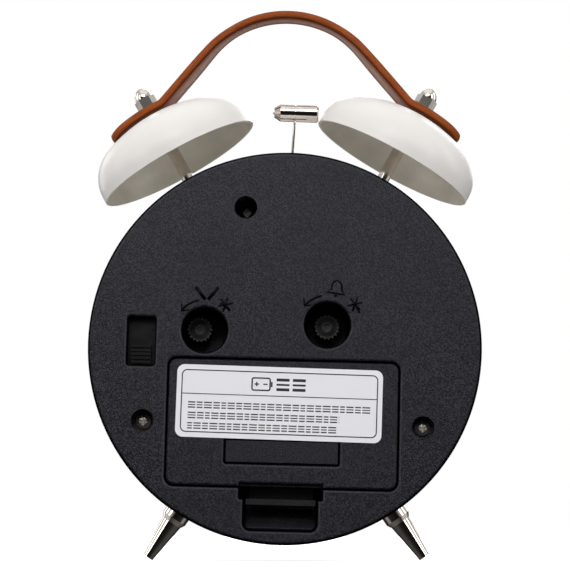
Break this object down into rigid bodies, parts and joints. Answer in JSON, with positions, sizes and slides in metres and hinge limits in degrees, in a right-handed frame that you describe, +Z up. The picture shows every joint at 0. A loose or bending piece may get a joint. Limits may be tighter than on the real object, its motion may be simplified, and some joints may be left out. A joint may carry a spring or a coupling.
{
  "type": "twin-bell alarm clock",
  "caption": "Battery alarm clock with a round case, two bells with a hammer between them, a strap handle, splayed feet and a rear battery door.",
  "frame": {"origin": "on the ground under the middle of the case, halfway through its depth", "axes": "+Z up, dial faces -Y, back cover faces +Y, +X to the right of someone who reads the dial"},
  "size_m": [0.11, 0.0504, 0.1609],
  "materials": {
    "case_paint": "satin",
    "bell_paint": "satin",
    "cover_abs": "spark-eroded texture",
    "black_plastic": "satin",
    "white_plastic": "satin",
    "clear": "polished",
    "dial_print": "matt",
    "label_paper": "coated paper",
    "nickel": "bright nickel plate",
    "steel": "zinc plated",
    "brass": "turned",
    "leather": "smooth, burnished edges",
    "hand_black": "satin",
    "hand_red": "satin",
    "cell_wrap": "shrink sleeve",
    "gear_plastic": "natural acetal",
    "copper": "enamelled wire",
    "board": "solder mask"
  },
  "bodies": {
    "case": {"case_shell": "case_paint", "front_bezel": "case_paint", "lens": "clear", "reveal_ring": "white_plastic", "dial": "dial_print", "chassis": "black_plastic", "back_cover": "cover_abs", "cover_screws": "nickel", "switch_body": "black_plastic", "cell_upper": "cell_wrap", "cell_lower": "cell_wrap", "cell_contacts": "steel", "cell_springs": "steel", "movement_back": "black_plastic", "movement_front": "black_plastic", "movement_nut": "brass", "stator": "steel", "coil": "copper", "movement_board": "board", "bell_left": "bell_paint", "bell_right": "bell_paint", "bell_post_left": "nickel", "bell_post_right": "nickel", "cap_nuts": "nickel", "foot_left": "nickel", "foot_right": "nickel", "post_nuts": "steel", "foot_nuts": "steel", "strap_handle": "leather", "alarm_motor": "steel", "hammer_bracket": "steel"},
    "battery_door": {"battery_door": "cover_abs", "door_label": "label_paper"},
    "door_latch": {"door_latch": "cover_abs"},
    "switch_slider": {"switch_slider": "black_plastic"},
    "second_train": {"second_wheel": "gear_plastic", "second_hand": "hand_red"},
    "third_wheel": {"third_wheel": "gear_plastic"},
    "intermediate_wheel": {"intermediate_wheel": "gear_plastic"},
    "rotor": {"rotor": "gear_plastic"},
    "centre_wheel": {"centre_wheel": "gear_plastic"},
    "minute_train": {"cannon_pinion": "gear_plastic", "minute_hand": "hand_black"},
    "minute_wheel": {"minute_wheel": "gear_plastic"},
    "hour_train": {"hour_wheel": "gear_plastic", "hour_hand": "hand_black"},
    "time_knob": {"time_knob": "black_plastic"},
    "alarm_train": {"alarm_wheel": "gear_plastic", "alarm_hand": "brass"},
    "alarm_knob": {"alarm_knob": "black_plastic"},
    "hammer": {"hammer_head": "nickel", "hammer_rod": "nickel", "hammer_lever": "steel"},
    "crank_gear": {"crank_gear": "gear_plastic"},
    "motor_rotor": {"motor_pinion": "brass", "motor_shaft": "steel"}
  },
  "joints": [
    {"name": "door_hinge", "type": "hinge", "parent": "case", "child": "battery_door", "pos_m": [0.0001, 0.0247, 0.0556], "axis": [0.9997, 0, 0.0262], "range_deg": [0, 70]},
    {"name": "latch_flex", "type": "hinge", "parent": "battery_door", "child": "door_latch", "pos_m": [0.00101, 0.01665, 0.02076], "axis": [0.9997, 0, 0.0262], "range_deg": [0, 5], "stiffness_Nm_per_rad": 0.02},
    {"name": "switch_slide", "type": "slide", "parent": "case", "child": "switch_slider", "axis": [-0.0262, 0, 0.9997], "range_m": [0, 0.005]},
    {"name": "second_hand", "type": "hinge", "parent": "case", "child": "second_train", "pos_m": [0, 0, 0.0595], "axis": [0, 1, 0], "continuous": true},
    {"name": "third_wheel_spin", "type": "hinge", "parent": "case", "child": "third_wheel", "pos_m": [0.00604, 0, 0.04964], "axis": [0, 1, 0], "continuous": true},
    {"name": "intermediate_wheel_spin", "type": "hinge", "parent": "case", "child": "intermediate_wheel", "pos_m": [-0.00619, 0.002, 0.05297], "axis": [0, 1, 0], "continuous": true},
    {"name": "rotor_spin", "type": "hinge", "parent": "case", "child": "rotor", "pos_m": [-0.01037, 0, 0.04528], "axis": [0, 1, 0], "continuous": true},
    {"name": "centre_wheel_spin", "type": "hinge", "parent": "case", "child": "centre_wheel", "pos_m": [0, -0.002, 0.0595], "axis": [0, 1, 0], "continuous": true},
    {"name": "minute_hand", "type": "hinge", "parent": "case", "child": "minute_train", "pos_m": [0, -0.003, 0.0595], "axis": [0, 1, 0], "continuous": true},
    {"name": "minute_wheel_spin", "type": "hinge", "parent": "case", "child": "minute_wheel", "pos_m": [0.00993, -0.004, 0.06066], "axis": [0, 1, 0], "continuous": true},
    {"name": "hour_hand", "type": "hinge", "parent": "case", "child": "hour_train", "pos_m": [0, -0.005, 0.0595], "axis": [0, 1, 0], "continuous": true},
    {"name": "time_knob_turn", "type": "hinge", "parent": "case", "child": "time_knob", "pos_m": [0.02406, 0.01, 0.06503], "axis": [0, 1, 0], "continuous": true},
    {"name": "alarm_hand", "type": "hinge", "parent": "case", "child": "alarm_train", "pos_m": [0, -0.007, 0.0595], "axis": [0, 1, 0], "continuous": true},
    {"name": "alarm_knob_turn", "type": "hinge", "parent": "case", "child": "alarm_knob", "pos_m": [-0.01187, 0.01, 0.06569], "axis": [0, 1, 0], "continuous": true},
    {"name": "hammer_swing", "type": "hinge", "parent": "case", "child": "hammer", "pos_m": [0, 0, 0.091], "axis": [0, 1, 0], "range_deg": [-0.4, 9.7]},
    {"name": "crank_spin", "type": "hinge", "parent": "case", "child": "crank_gear", "pos_m": [0, -0.0025, 0.082], "axis": [0, 1, 0], "continuous": true},
    {"name": "motor_spin", "type": "hinge", "parent": "case", "child": "motor_rotor", "pos_m": [-0.0091, -0.0025, 0.082], "axis": [0, 1, 0], "continuous": true}
  ],
  "couplings": [
    {"joint": "third_wheel_spin", "follows": "second_hand", "ratio": -0.13333},
    {"joint": "centre_wheel_spin", "follows": "second_hand", "ratio": 0.016667},
    {"joint": "intermediate_wheel_spin", "follows": "second_hand", "ratio": -5},
    {"joint": "rotor_spin", "follows": "second_hand", "ratio": 30},
    {"joint": "minute_wheel_spin", "follows": "minute_hand", "ratio": -0.33333},
    {"joint": "hour_hand", "follows": "minute_hand", "ratio": 0.083333},
    {"joint": "time_knob_turn", "follows": "minute_hand", "ratio": 0.34286},
    {"joint": "alarm_knob_turn", "follows": "alarm_hand", "ratio": -1.7},
    {"joint": "motor_spin", "follows": "crank_spin", "ratio": -3.3333}
  ]
}
